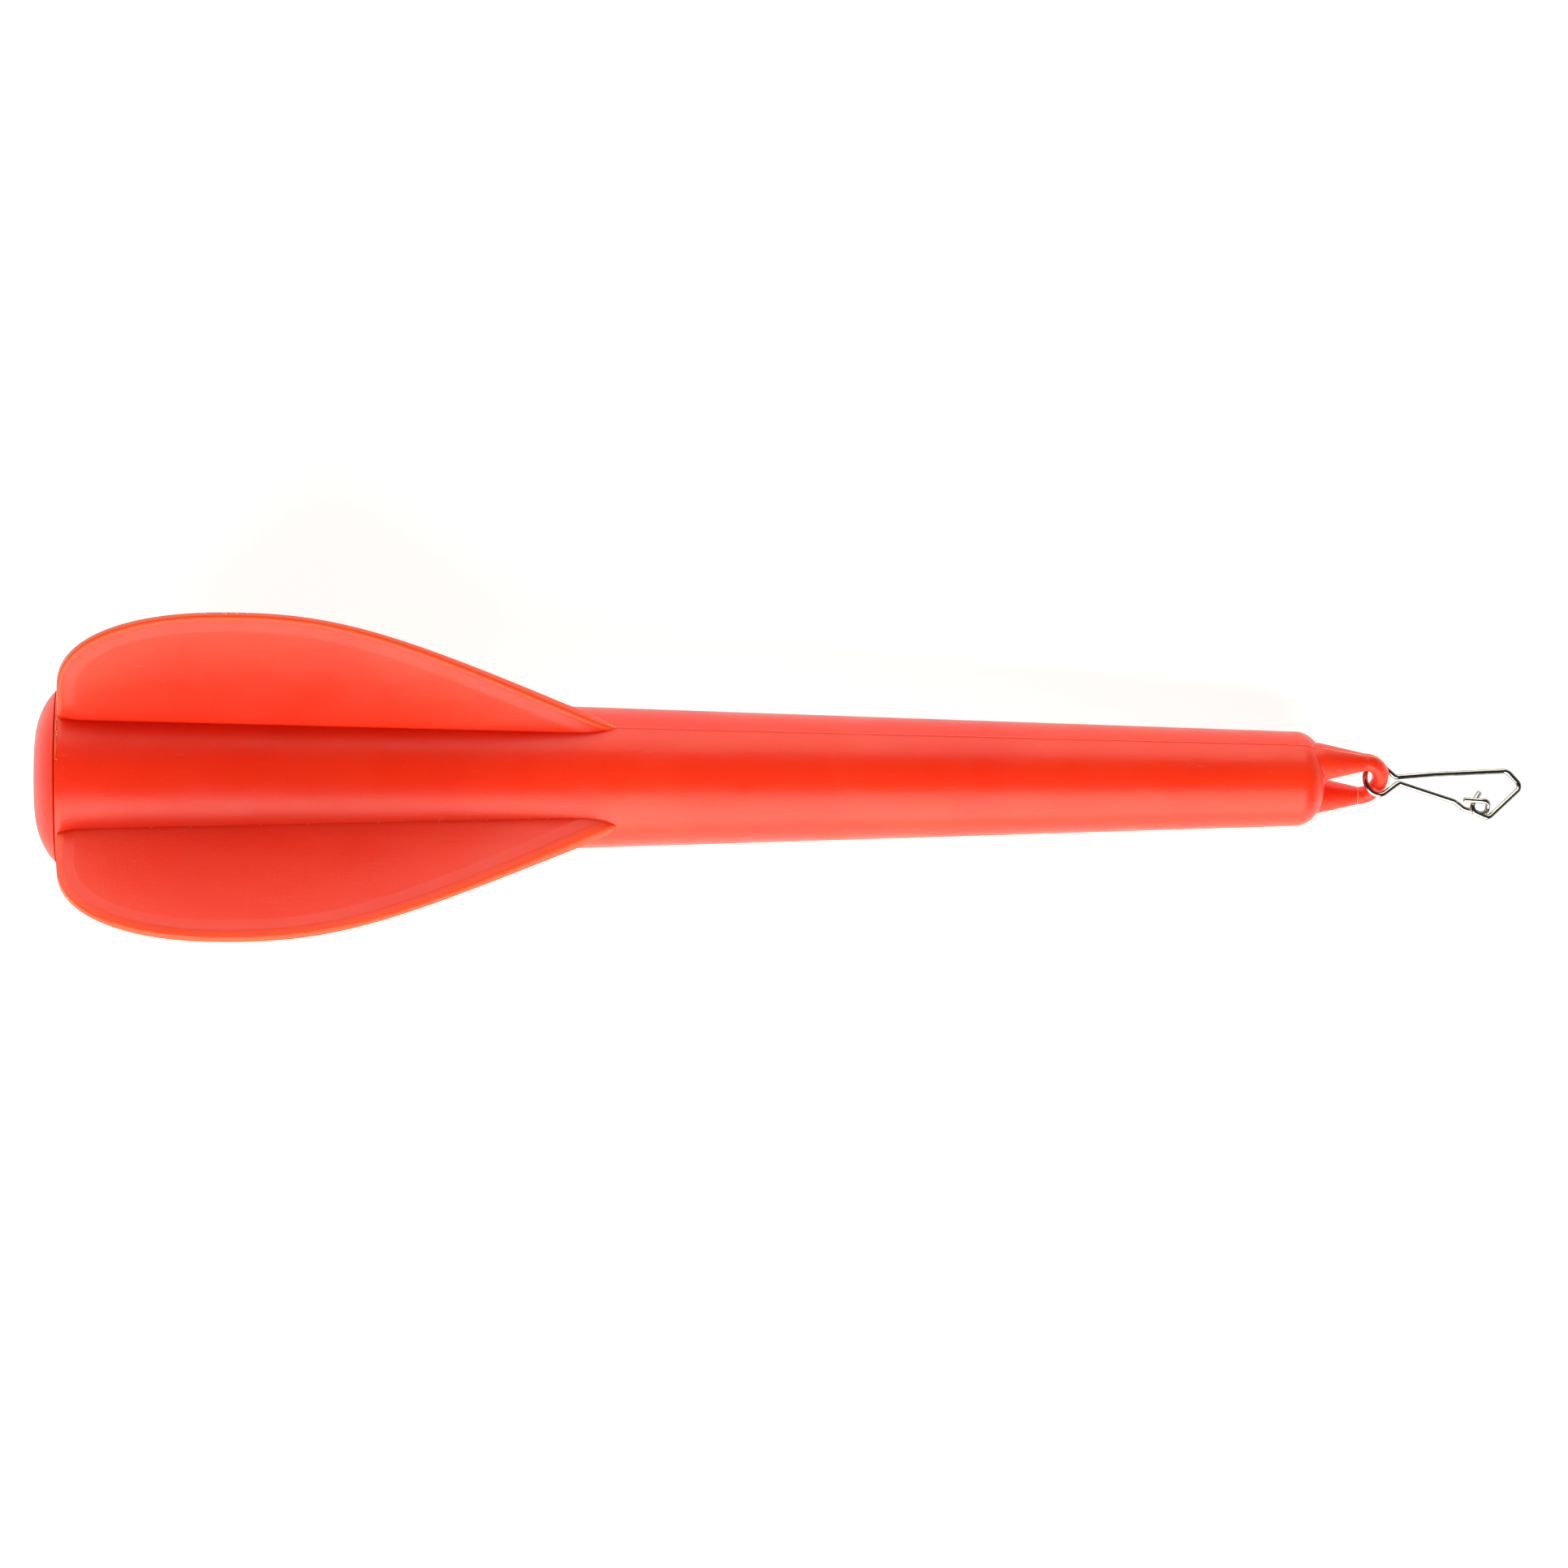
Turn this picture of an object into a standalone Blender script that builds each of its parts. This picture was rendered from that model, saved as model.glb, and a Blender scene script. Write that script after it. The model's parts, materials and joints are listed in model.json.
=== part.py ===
"""Finned tow float with an end cap and a wire snap, lying at rest on a flat surface.

Every piece is drawn in millimetres in the axis frame: x runs along the body from the cap seam
towards the tow eye, y is sideways and z is up. The root empty then tips the body until it rests
on two fins and its shoulder, and scales it to metres.
"""
import math
from collections import namedtuple

import bmesh
import bpy
import numpy as np
from mathutils import Matrix, Quaternion, Vector

MM = 0.001
GAP = 0.3                       # clearance between pieces that touch in the real object

# body moulding
SEAM_RADIUS = 20.4
SHOULDER_START = 291.4
SHOULDER_RADIUS = 11.25
SHOULDER_LENGTH = 6.4
NOSE_FLAT_RADIUS = 3.8
WALL = 2.0
CAVITY_END = 285.0
ROUND_SIDES = 56

# end cap
CAP_FACE = -5.07                # flat outer disc of the cap
CAP_FLAT_RADIUS = 7.0
CAP_ARC_LENGTH = 11.3
CAP_ARC_HEIGHT = 15.7
CAP_WALL = 2.4
CAP_INNER_BEVEL = 1.0
SPIGOT_END = 9.0
SPIGOT_WALL = 2.0

# inside the body
CORE_START = 13.0
CORE_END = 258.0
BALLAST_END = 283.0
INNER_SLACK = 0.4

# fins
FIN_COUNT = 4
FIN_FIRST_ANGLE = 45.0
FIN_REAR = 0.7
FIN_CORNER_RADIUS = 28.4        # distance from the axis where the rear edge starts to round off
FIN_PEAK_X = 39.5
FIN_PEAK_RADIUS = 51.9
FIN_ROUNDING = 2.25             # superellipse power of the rear corner
FIN_TIP_X = 129.0
FIN_TIP_SLOPE = 0.575
FIN_PEAK_REACH = 26.0           # length of the curve handle at the peak
FIN_TIP_REACH = 50.0            # length along x of the curve handle at the tip
FIN_STATIONS = 40

# sections of a fin: a rim at the edge, a shallow bevel, then a flat field down to the root
Section = namedtuple("Section", "rim_width rim_drop rim_rows bevel_width bevel_drop field_half root_half")
# fins 1 and 3 lie in the mould's parting plane: even thickness and a rounded rim
PARTING_SECTION = Section(1.0, 0.75, (0.0, 0.12, 0.45, 1.0), 3.2, 0.4, 1.5, 1.6)
# fins 2 and 4 stand across it: drafted, so thick at the root, with a flat edge face
DRAFTED_SECTION = Section(1.6, 0.66, (0.0, 1.0), 2.5, 0.4, 1.94, 3.0)

# tow eye
EYE_LEG_OFFSET = 5.6
EYE_LEG_RADIUS = 4.6
EYE_LEG_TAPER_START = 296.6
EYE_ARC_START = 307.55
EYE_ARC_LENGTH = 4.55
EYE_ARC_RADIUS = 2.2
EYE_TIP_RADIUS = 2.07
EYE_ROOT = 290.0
EYE_ANGLE = 45.0                # the eye stands in the plane of the first fin
EYE_SIDES = 20
CUTTER_REACH = 10.0             # how far the shoulder cutter runs back past the eye's feet

# wire snap
WIRE_RADIUS = 0.65
WIRE_SIDES = 12
RING_CENTRE_X = 311.55
RING_LENGTH = 3.18              # half length of the ring along the snap
RING_WIDTH = 3.9                # half width of the ring across the snap
RING_LEAVE_LOW = -62.0
RING_LEAVE_HIGH = 66.0
SNAP_TWIST = 15.0
SNAP_DROOP = 9.0
LATCH_PIVOT = (4.75, -1.22, 0.0)

# colours
PLASTIC = (0.87, 0.031, 0.006)
FOAM = (0.86, 0.83, 0.74)
LEAD = (0.22, 0.22, 0.24)
STEEL = (0.78, 0.78, 0.77)


def clear_scene():
    for item in list(bpy.data.objects):
        bpy.data.objects.remove(item, do_unlink=True)


def material(name, colour, metallic, roughness):
    made = bpy.data.materials.new(name)
    made.use_nodes = True
    shader = made.node_tree.nodes["Principled BSDF"]
    shader.inputs["Base Color"].default_value = (*colour, 1.0)
    shader.inputs["Metallic"].default_value = metallic
    shader.inputs["Roughness"].default_value = roughness
    return made


def add_node(name, bm, look, parent, smooth=True, origin=Vector((0, 0, 0))):
    """Turns a bmesh drawn in the axis frame into a named node whose origin is at the given point."""
    bmesh.ops.recalc_face_normals(bm, faces=bm.faces)
    bmesh.ops.translate(bm, verts=bm.verts, vec=-origin)
    mesh = bpy.data.meshes.new(name)
    bm.to_mesh(mesh)
    bm.free()
    for face in mesh.polygons:
        face.use_smooth = smooth
    node = bpy.data.objects.new(name, mesh)
    bpy.context.scene.collection.objects.link(node)
    node.data.materials.append(look)
    node.parent = parent
    node.location = origin
    return node


def skin_rings(bm, rings, closed_across=True):
    """Joins neighbouring rings of vertices with quads; a ring of one vertex makes a fan."""
    for ring, after in zip(rings, rings[1:]):
        count = max(len(ring), len(after))
        steps = count if closed_across else count - 1
        for i in range(steps):
            j = (i + 1) % count
            if len(ring) == 1:
                bm.faces.new((ring[0], after[j], after[i]))
            elif len(after) == 1:
                bm.faces.new((ring[i], ring[j], after[0]))
            else:
                bm.faces.new((ring[i], ring[j], after[j], after[i]))


def revolve(profile, sides):
    """Turns a profile of (x, radius) points that starts and ends on the axis into a solid."""
    bm = bmesh.new()
    rings = []
    for x, radius in profile:
        if radius == 0.0:
            rings.append([bm.verts.new((x, 0.0, 0.0))])
            continue
        ring = []
        for i in range(sides):
            angle = 2.0 * math.pi * i / sides
            ring.append(bm.verts.new((x, radius * math.cos(angle), radius * math.sin(angle))))
        rings.append(ring)
    skin_rings(bm, rings)
    return bm


def tube(points, radii, sides):
    """Sweeps a round section along a path, with flat ends."""
    bm = bmesh.new()
    rings = []
    side = None
    for i, point in enumerate(points):
        before = points[max(i - 1, 0)]
        after = points[min(i + 1, len(points) - 1)]
        along = (after - before).normalized()
        if side is None:
            side = along.orthogonal().normalized()
        side = (side - along * side.dot(along)).normalized()
        up = along.cross(side)
        ring = []
        for k in range(sides):
            angle = 2.0 * math.pi * k / sides
            offset = side * math.cos(angle) + up * math.sin(angle)
            ring.append(bm.verts.new(point + offset * radii[i]))
        rings.append(ring)
    skin_rings(bm, rings)
    bm.faces.new(rings[0])
    bm.faces.new(rings[-1])
    return bm


def bend_path(corners, bends, steps=5):
    """Rounds each inner corner of a path with its bend radius, as wire takes a bend."""
    path = [corners[0]]
    for before, corner, after, bend in zip(corners, corners[1:], corners[2:], bends):
        back = (before - corner).normalized()
        ahead = (after - corner).normalized()
        half = back.angle(ahead) / 2.0
        reach = bend / math.tan(half)
        centre = corner + (back + ahead).normalized() * (bend / math.sin(half))
        start = corner + back * reach - centre
        turn = start.rotation_difference(corner + ahead * reach - centre)
        for k in range(steps + 1):
            path.append(centre + Quaternion().slerp(turn, k / steps) @ start)
    path.append(corners[-1])
    return path


def cone_radius(x):
    """Outer radius of the tapered body at x."""
    return SEAM_RADIUS + (SHOULDER_RADIUS - SEAM_RADIUS) * x / SHOULDER_START


def shoulder_profile(grow=0.0, steps=8):
    """Rounded shoulder from the cone to the flat nose; grow swells it for a cutter."""
    points = []
    height = SHOULDER_RADIUS - NOSE_FLAT_RADIUS
    for i in range(steps + 1):
        angle = math.pi / 2.0 * i / steps
        x = SHOULDER_START + (SHOULDER_LENGTH + grow) * math.sin(angle)
        points.append((x, NOSE_FLAT_RADIUS + (height + grow) * math.cos(angle)))
    return points


def body_shell():
    """Hollow tapered body, open at the cap end and solid at the nose."""
    start = GAP / 2.0
    outside = [(start, cone_radius(start))]
    outside += shoulder_profile()
    nose = [(SHOULDER_START + SHOULDER_LENGTH, 0.0)]
    inside = [
        (CAVITY_END, 0.0),
        (CAVITY_END, cone_radius(CAVITY_END) - WALL),
        (start, cone_radius(start) - WALL),
    ]
    return revolve(inside + outside + nose, ROUND_SIDES)


def end_cap(steps=9):
    """Domed cap with a hollow spigot that plugs the open end of the body."""
    rim = -GAP / 2.0
    last = math.acos((CAP_FACE + CAP_ARC_LENGTH - rim) / CAP_ARC_LENGTH)
    dome = [(CAP_FACE, 0.0)]
    for i in range(steps + 1):
        angle = last * i / steps
        x = CAP_FACE + CAP_ARC_LENGTH * (1.0 - math.cos(angle))
        dome.append((x, CAP_FLAT_RADIUS + CAP_ARC_HEIGHT * math.sin(angle)))
    spigot = cone_radius(SPIGOT_END) - WALL - GAP
    back = [
        (rim, spigot),
        (SPIGOT_END, spigot),
        (SPIGOT_END, spigot - SPIGOT_WALL),
        (CAP_FACE + CAP_WALL + CAP_INNER_BEVEL, spigot - SPIGOT_WALL),
        (CAP_FACE + CAP_WALL, CAP_FLAT_RADIUS),
        (CAP_FACE + CAP_WALL, 0.0),
    ]
    return revolve(dome + back, ROUND_SIDES)


def inner_cone(start, end):
    """Solid cone that fills the cavity between two stations, a little slack in the wall."""
    profile = [(start, 0.0)]
    profile.append((start, cone_radius(start) - WALL - INNER_SLACK))
    profile.append((end, cone_radius(end) - WALL - INNER_SLACK))
    profile.append((end, 0.0))
    return revolve(profile, ROUND_SIDES)


def root_radius(x):
    """Distance from the axis at which a fin stops, just clear of the body."""
    return cone_radius(x) + GAP


def fin_outline(steps=160):
    """Outer edge of a fin as (x, radius): straight rear edge, rounded corner, long falling curve."""
    points = [(FIN_REAR, root_radius(FIN_REAR))]
    for i in range(steps + 1):
        angle = math.pi / 2.0 * i / steps
        across = math.cos(angle) ** (2.0 / FIN_ROUNDING)
        rise = math.sin(angle) ** (2.0 / FIN_ROUNDING)
        x = FIN_PEAK_X - (FIN_PEAK_X - FIN_REAR) * across
        points.append((x, FIN_CORNER_RADIUS + (FIN_PEAK_RADIUS - FIN_CORNER_RADIUS) * rise))
    tip = np.array((FIN_TIP_X, root_radius(FIN_TIP_X)))
    peak = np.array((FIN_PEAK_X, FIN_PEAK_RADIUS))
    from_peak = peak + (FIN_PEAK_REACH, 0.0)
    to_tip = tip + (-FIN_TIP_REACH, FIN_TIP_REACH * FIN_TIP_SLOPE)
    for i in range(1, steps + 1):
        t = i / steps
        s = 1.0 - t
        points.append(s**3 * peak + 3 * s * s * t * from_peak + 3 * s * t * t * to_tip + t**3 * tip)
    return np.array(points, dtype=float)


def inset_curve(curve, inset, count):
    """Moves an open curve inwards, trims it at the fin root and spaces its points evenly."""
    ahead = np.gradient(curve, axis=0)
    ahead /= np.linalg.norm(ahead, axis=1)[:, None]
    inward = np.stack((ahead[:, 1], -ahead[:, 0]), axis=1)
    moved = curve + inward * inset
    moved[0] = (FIN_REAR + inset, root_radius(FIN_REAR + inset))
    height = moved[:, 1] - root_radius(moved[:, 0])
    kept = np.nonzero(height > 1e-6)[0]
    last = kept[-1]
    if last + 1 < len(moved):
        part = height[last] / (height[last] - height[last + 1])
        end = moved[last] + (moved[last + 1] - moved[last]) * part
    else:
        end = moved[last]
    trimmed = np.vstack((moved[:1], moved[kept[0]:last + 1], end))
    length = np.concatenate(((0.0,), np.cumsum(np.linalg.norm(np.diff(trimmed, axis=0), axis=1))))
    wanted = np.linspace(0.0, length[-1], count)
    even_x = np.interp(wanted, length, trimmed[:, 0])
    even_r = np.interp(wanted, length, trimmed[:, 1])
    even_r[0] = root_radius(even_x[0])
    even_r[-1] = root_radius(even_x[-1])
    return np.stack((even_x, even_r), axis=1)


def fin_half(section, x, radius, inset):
    """Half thickness of a fin: a flat field that a bevel and a rim thin towards the edge."""
    rise = (radius - root_radius(x)) / (FIN_PEAK_RADIUS - SEAM_RADIUS)
    half = section.root_half + (section.field_half - section.root_half) * rise
    bevel = (section.rim_width + section.bevel_width - inset) / section.bevel_width
    half -= section.bevel_drop * min(max(bevel, 0.0), 1.0)
    share = min(inset / section.rim_width, 1.0)
    if section is PARTING_SECTION:
        share = math.sqrt(share * (2.0 - share))
    return half - section.rim_drop * (1.0 - share)


def fin(number):
    """One fin, standing out from the body in its own direction about the axis."""
    section = PARTING_SECTION if number % 2 == 1 else DRAFTED_SECTION
    insets = [section.rim_width * share for share in section.rim_rows]
    insets.append(section.rim_width + section.bevel_width)
    curves = [inset_curve(fin_outline(), inset, FIN_STATIONS) for inset in insets]
    bm = bmesh.new()
    faces = []
    for side in (1.0, -1.0):
        loops = []
        for curve, inset in zip(curves, insets):
            loop = [bm.verts.new((x, r, side * fin_half(section, x, r, inset))) for x, r in curve]
            loops.append(loop)
        skin_rings(bm, loops, closed_across=False)
        bm.faces.new(loops[-1])
        faces.append(loops)
    front, back = faces
    skin_rings(bm, [front[0], back[0]], closed_across=False)
    root = [loop[0] for loop in front] + [loop[-1] for loop in reversed(front)]
    root += [loop[-1] for loop in back] + [loop[0] for loop in reversed(back)]
    bm.faces.new(root)
    angle = FIN_FIRST_ANGLE + 360.0 / FIN_COUNT * (number - 1)
    bmesh.ops.rotate(bm, verts=bm.verts, matrix=Matrix.Rotation(math.radians(angle), 3, "X"))
    return bm


def eye_path(leg_steps=6, arc_steps=22):
    """Centre line and radii of the tow eye: one tapering leg, the bow and the other leg."""
    stations = []
    for x in np.linspace(EYE_ROOT, EYE_ARC_START, leg_steps, endpoint=False):
        taper = (x - EYE_LEG_TAPER_START) / (EYE_ARC_START - EYE_LEG_TAPER_START)
        radius = EYE_LEG_RADIUS + (EYE_ARC_RADIUS - EYE_LEG_RADIUS) * max(taper, 0.0)
        stations.append((x, EYE_LEG_OFFSET, radius))
    for i in range(arc_steps + 1):
        angle = math.pi * i / arc_steps
        slim = EYE_ARC_RADIUS + (EYE_TIP_RADIUS - EYE_ARC_RADIUS) * math.sin(angle)
        x = EYE_ARC_START + EYE_ARC_LENGTH * math.sin(angle)
        stations.append((x, EYE_LEG_OFFSET * math.cos(angle), slim))
    for x, offset, radius in reversed(stations[:leg_steps]):
        stations.append((x, -offset, radius))
    return stations


def tow_eye(parent, look):
    """Round bow on the nose, its feet cut to the shoulder."""
    turn = Matrix.Rotation(math.radians(EYE_ANGLE), 3, "X")
    stations = eye_path()
    points = [turn @ Vector((x, offset, 0.0)) for x, offset, radius in stations]
    radii = [radius for x, offset, radius in stations]
    bow = add_node("tow_eye", tube(points, radii, EYE_SIDES), look, parent)
    profile = [(EYE_ROOT - CUTTER_REACH, 0.0), (EYE_ROOT - CUTTER_REACH, SHOULDER_RADIUS + GAP)]
    profile += shoulder_profile(GAP)
    profile.append((SHOULDER_START + SHOULDER_LENGTH + GAP, 0.0))
    cutter = add_node("shoulder_cutter", revolve(profile, ROUND_SIDES), look, parent)
    cutter.hide_render = True
    cutter.display_type = "WIRE"
    cut = bow.modifiers.new("cut", "BOOLEAN")
    cut.operation = "DIFFERENCE"
    cut.solver = "EXACT"
    cut.object = cutter
    return bow


def snap_axes():
    """Axes of the snap in the axis frame: turned a little about its length, tip hanging down."""
    droop = Matrix.Rotation(math.radians(SNAP_DROOP), 4, "Y")
    twist = Matrix.Rotation(math.radians(-SNAP_TWIST), 4, "X")
    return Matrix.Translation((RING_CENTRE_X, 0.0, 0.0)) @ droop @ twist


def snap_point(x, y, z=0.0):
    """A point of the snap drawn as seen from above, spread to its true width in the twisted plane."""
    return Vector((x, y / math.cos(math.radians(SNAP_TWIST)), z))


def ring_and_arm(steps=22):
    """Fixed part of the snap: the ring round the tow eye, the long arm, the nose and its hook."""
    path = [snap_point(4.25, -1.5)]
    start = math.radians(RING_LEAVE_LOW)
    end = math.radians(RING_LEAVE_HIGH - 360.0)
    for i in range(steps + 1):
        angle = start + (end - start) * i / steps
        path.append(Vector((RING_LENGTH * math.cos(angle), RING_WIDTH * math.sin(angle), 0.0)))
    corners = [
        path[-1],
        snap_point(4.6, 0.42),       # waist
        snap_point(14.0, 1.12),
        snap_point(33.4, 1.95),      # start of the nose
        snap_point(36.7, -1.8),      # far end
        snap_point(27.13, -9.39),    # bottom of the hook
        snap_point(22.62, -7.28),
        snap_point(25.75, -3.1),
    ]
    return path[:-1] + bend_path(corners, (1.0, 12.0, 2.4, 1.6, 1.9, 1.8))


def latch_arm():
    """Springy part of the snap: the short arm and its hook, which wraps the hook of the nose."""
    corners = [
        snap_point(4.58, -1.3),
        snap_point(5.15, -0.98),
        snap_point(19.3, -5.25, -0.5),
        snap_point(22.0, -6.7, -1.7),
        snap_point(27.5, -8.15, -1.6),
        snap_point(27.1, -5.75, 1.7),
        snap_point(20.75, -5.3, 1.7),
    ]
    return bend_path(corners, (1.0, 3.0, 3.0, 1.3, 1.3))


def build():
    clear_scene()
    plastic = material("red_plastic", PLASTIC, 0.0, 0.35)
    cap_plastic = material("red_cap_plastic", PLASTIC, 0.0, 0.35)
    foam = material("foam", FOAM, 0.0, 0.9)
    lead = material("ballast_metal", LEAD, 1.0, 0.6)
    steel = material("polished_steel", STEEL, 1.0, 0.15)

    root = bpy.data.objects.new("float_frame", None)
    bpy.context.scene.collection.objects.link(root)

    add_node("body_shell", body_shell(), plastic, root)
    add_node("end_cap", end_cap(), cap_plastic, root)
    add_node("foam_core", inner_cone(CORE_START, CORE_END), foam, root)
    add_node("ballast", inner_cone(CORE_END + INNER_SLACK, BALLAST_END), lead, root)
    for number in range(1, FIN_COUNT + 1):
        add_node(f"fin_{number}", fin(number), plastic, root, smooth=False)
    tow_eye(root, plastic)

    axes = snap_axes()
    bar = Vector((EYE_ARC_START + EYE_ARC_LENGTH, 0.0, 0.0))
    wire_frame = [axes @ point for point in ring_and_arm()]
    wire_latch = [axes @ point for point in latch_arm()]
    ring = tube(wire_frame, [WIRE_RADIUS] * len(wire_frame), WIRE_SIDES)
    latch = tube(wire_latch, [WIRE_RADIUS] * len(wire_latch), WIRE_SIDES)
    add_node("snap_frame", ring, steel, root, origin=bar)
    pivot = axes @ Vector(LATCH_PIVOT)
    add_node("snap_latch", latch, steel, root, origin=pivot)
    settle(root)


def settle(root):
    """Tips the body on to its two lower fins and its shoulder and centres it over the origin."""
    edge_half = fin_half(DRAFTED_SECTION, FIN_PEAK_X, FIN_PEAK_RADIUS, 0.0)
    fin_reach = FIN_PEAK_RADIUS * math.sin(math.radians(FIN_FIRST_ANGLE))
    fin_reach += edge_half * math.cos(math.radians(FIN_FIRST_ANGLE))
    tilt = math.atan2(fin_reach - SHOULDER_RADIUS, SHOULDER_START - FIN_PEAK_X)
    root.rotation_euler = (0.0, tilt, 0.0)
    root.scale = (MM, MM, MM)
    bpy.context.view_layer.update()
    corners = []
    for node in root.children:
        if node.hide_render:
            continue
        corners += [node.matrix_world @ vertex.co for vertex in node.data.vertices]
    low = [min(corner[i] for corner in corners) for i in range(3)]
    high = [max(corner[i] for corner in corners) for i in range(3)]
    root.location = (-(low[0] + high[0]) / 2.0, -(low[1] + high[1]) / 2.0, -low[2])
    bpy.context.view_layer.update()


build()
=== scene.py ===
import json
import math
import random
from collections import namedtuple

import bmesh
import bpy
import numpy as np
from mathutils import Matrix, Quaternion, Vector


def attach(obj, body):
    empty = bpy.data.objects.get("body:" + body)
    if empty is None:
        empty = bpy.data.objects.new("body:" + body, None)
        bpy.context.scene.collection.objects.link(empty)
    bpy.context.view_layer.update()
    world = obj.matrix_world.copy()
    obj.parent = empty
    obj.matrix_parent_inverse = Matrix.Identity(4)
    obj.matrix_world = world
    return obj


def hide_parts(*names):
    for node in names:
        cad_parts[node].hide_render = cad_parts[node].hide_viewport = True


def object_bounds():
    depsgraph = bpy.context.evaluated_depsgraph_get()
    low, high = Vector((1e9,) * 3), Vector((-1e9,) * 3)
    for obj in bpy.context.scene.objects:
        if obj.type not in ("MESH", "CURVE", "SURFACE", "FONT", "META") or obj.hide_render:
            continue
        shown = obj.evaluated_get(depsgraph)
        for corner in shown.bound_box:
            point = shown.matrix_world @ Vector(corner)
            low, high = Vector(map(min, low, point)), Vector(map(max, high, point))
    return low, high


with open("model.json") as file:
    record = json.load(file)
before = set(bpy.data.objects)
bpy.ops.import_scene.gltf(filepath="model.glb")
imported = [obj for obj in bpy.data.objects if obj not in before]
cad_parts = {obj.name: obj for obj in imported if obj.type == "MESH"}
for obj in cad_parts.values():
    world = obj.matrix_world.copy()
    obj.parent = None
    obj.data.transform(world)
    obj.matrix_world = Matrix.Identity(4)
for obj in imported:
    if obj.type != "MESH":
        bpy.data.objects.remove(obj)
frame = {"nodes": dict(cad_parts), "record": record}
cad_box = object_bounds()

# Lengths of the object are in millimetres in the axis frame: x along the body from the cap seam
# towards the tow eye, y sideways and z up. MM turns them into metres.
MM = 0.001
FLAKE_SEED = 7

# camera, straight above the resting float, in metres
CAMERA_HEIGHT = 1.208
CAMERA_ASIDE = (-0.00125, -0.00145)
CAMERA_ROLL = 0.1               # degrees
CAMERA_LENS = 115.5
CAMERA_NEAR = 0.05

# body moulding
SEAM_RADIUS = 20.4
SHOULDER_START = 291.4
SHOULDER_RADIUS = 11.25
SHOULDER_LENGTH = 6.4
NOSE_FLAT_RADIUS = 3.8
WALL = 2.0
CAVITY_END = 285.0
BODY_START = 0.12
# softened edge of the mouth: (length, depth, share of the parting line's height)
MOUTH_EDGE = ((0.0, 0.25, 0.0), (0.05, 0.08, 0.0), (0.15, 0.0, 0.5))
BODY_STATIONS = 40
SHOULDER_STEPS = 18
PARTING_ANGLES = (45.0, 225.0)
PARTING_HEIGHT = 0.07
PARTING_FULL = 2.0              # where the parting line has its full height
PARTING_WIDTH = 0.45            # degrees either side of the parting line
BODY_SIDES = 144

# end cap
CAP_FACE = -5.07
CAP_FLAT_RADIUS = 7.0
CAP_FLAT_RING = 0.6             # where a ring divides the flat face, as a share of its radius
CAP_ARC_LENGTH = 11.3
CAP_ARC_HEIGHT = 15.7
CAP_RIM = -0.12
CAP_WALL = 2.4
CAP_INNER_SLOPE = 1.0
CAP_STEPS = 26
# softened rim: (length, depth) back from its corner
CAP_EDGE = ((0.12, 0.03), (0.03, 0.08), (0.0, 0.2))
SPIGOT_END = 9.0
SPIGOT_BEVEL = 0.8
SPIGOT_WALL = 2.0
SPIGOT_SLACK = 0.3

# fins
FIN_COUNT = 4
FIN_FIRST_ANGLE = 45.0
FIN_REAR = 0.7
FIN_CORNER_RADIUS = 28.4
FIN_PEAK_X = 39.5
FIN_PEAK_RADIUS = 51.9
FIN_ROUNDING = 2.25
FIN_TIP_X = 129.0
FIN_TIP_SLOPE = 0.575
FIN_PEAK_REACH = 26.0
FIN_TIP_REACH = 50.0
FIN_SUNK = 0.5                  # how far the root reaches into the body
FIN_OUTLINE_STEPS = 300
FIN_STATIONS = 150
# from the edge to the root: a rim that rounds or slopes off, a shallow bevel, then the field
Section = namedtuple("Section", "rounded rim_width rim_drop bevel_width bevel_drop field_half root_half")
PARTING_SECTION = Section(True, 1.15, 0.75, 3.3, 0.4, 1.42, 1.9)
DRAFTED_SECTION = Section(False, 1.6, 0.6, 2.5, 0.46, 1.94, 3.0)
# rows of points on each of them, as shares of its width
RIM_ROWS = (0.0, 0.02, 0.06, 0.13, 0.25, 0.45, 0.7, 0.96, 1.0)
BEVEL_ROWS = (0.04, 0.15, 0.3, 0.45, 0.6, 0.75, 0.88, 0.97, 1.0)
FIELD_ROWS = (0.01, 0.1, 0.25, 0.5, 0.75, 0.9, 0.96, 0.99, 1.0)
RIM_FADE = 4.0                  # how late the painted orange glow of the thin rim turns into the bevel's red
FIN_POINT_LENGTH = 8.0          # where the root tapers to the tip
FIN_POINT_END = 129.4

# tow eye
EYE_LEG_OFFSET = 5.6
EYE_LEG_RADIUS = 4.6
EYE_LEG_TAPER_START = 296.6
EYE_ARC_START = 307.55
EYE_ARC_LENGTH = 4.55
EYE_ARC_RADIUS = 2.12           # leaves the ring room to swing
EYE_TIP_RADIUS = 1.98
EYE_ROOT = 290.5
EYE_ANGLE = 45.0
EYE_SIDES = 48
EYE_LEG_STATIONS = 30
EYE_ARC_STEPS = 60

# flash left on the moulding: places along the body in millimetres, and angles in degrees
FLASH_WIDTH = 0.7
FLASH_RISE = 0.13
FLASH_SUNK = 0.1
FLASH_STEP = 0.5
FLASH_TOP = 0.8                 # share of its width that is full height
FLASH_STRIPS = ((79.0, 61.5), (60.3, 50.5))
FLAKE_CORNERS = 5
FLAKES_ON_EDGE = (24.0, 33.9, 34.6, 38.4, 39.1, 40.3, 41.6, 44.0, 67.0, 127.2, 128.0, 128.8)
FLAKES_AT_CORNER = (3.4, 3.7)
FLAKES_AT_ROOT = (22.0, 31.0, 47.0, 58.0, 74.0, 88.0, 99.0, 108.8, 113.0, 119.7, 124.6, 125.6)
FLAKES_ON_SEAM = (79.0, 62.0, 60.0, 51.0)
LINE_RADIUS = 0.09
LINE_SIDES = 6
LINE_STEPS = 40
LINE_FOOT = 0.8                 # where the bow's line starts, as a share of the shoulder
WELD_LINE_X = 307.2
WELD_LINE_RISE = 0.03
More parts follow.
